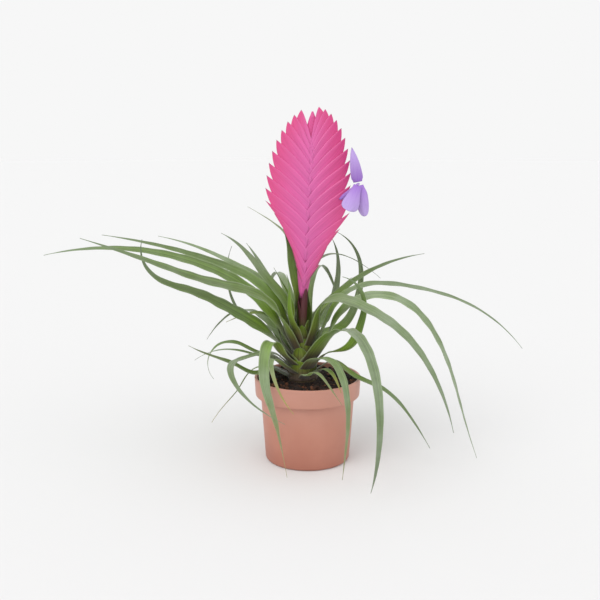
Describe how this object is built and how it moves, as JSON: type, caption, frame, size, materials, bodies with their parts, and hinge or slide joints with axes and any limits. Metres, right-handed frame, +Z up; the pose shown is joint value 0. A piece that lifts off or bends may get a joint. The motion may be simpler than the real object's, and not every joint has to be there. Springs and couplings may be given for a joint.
{
  "type": "potted plant",
  "caption": "Potted pink quill plant: a flat pink flower spike with lavender petals above long arching strap leaves, rooted in soil in a small terracotta-coloured pot.",
  "frame": {"origin": "centre of the pot's flat base", "axes": "+Z up; the flat face of the flower spike looks along -Y; the longest leaves run along +X and -X"},
  "size_m": [0.3985, 0.2723, 0.2946],
  "materials": {
    "pot": "matte",
    "soil": "rough",
    "crown": "satin",
    "leaf": "satin",
    "spike": "satin",
    "petal": "satin"
  },
  "bodies": {
    "root": {"pot": "pot", "soil": "soil", "crown": "crown", "flower_spike": "spike", "leaf_left_01": "leaf", "leaf_left_02": "leaf", "leaf_left_03": "leaf", "leaf_left_04": "leaf", "leaf_left_05": "leaf", "leaf_left_06": "leaf", "leaf_left_07": "leaf", "leaf_left_08": "leaf", "leaf_left_09": "leaf", "leaf_left_10": "leaf", "leaf_left_11": "leaf", "leaf_left_12": "leaf", "leaf_left_13": "leaf", "leaf_left_14": "leaf", "leaf_left_15": "leaf", "leaf_left_16": "leaf", "leaf_left_17": "leaf", "leaf_left_18": "leaf", "leaf_right_01": "leaf", "leaf_right_02": "leaf", "leaf_right_03": "leaf", "leaf_right_04": "leaf", "leaf_right_05": "leaf", "leaf_right_06": "leaf", "leaf_right_07": "leaf", "leaf_front_01": "leaf", "leaf_front_02": "leaf", "leaf_front_03": "leaf", "leaf_front_04": "leaf", "leaf_front_05": "leaf", "leaf_front_06": "leaf", "leaf_back_01": "leaf", "leaf_back_02": "leaf", "leaf_back_03": "leaf", "leaf_back_04": "leaf", "leaf_back_05": "leaf", "leaf_back_06": "leaf", "leaf_back_07": "leaf", "leaf_back_08": "leaf", "petal_upper": "petal", "petal_lower_left": "petal", "petal_lower_right": "petal"}
  },
  "joints": []
}
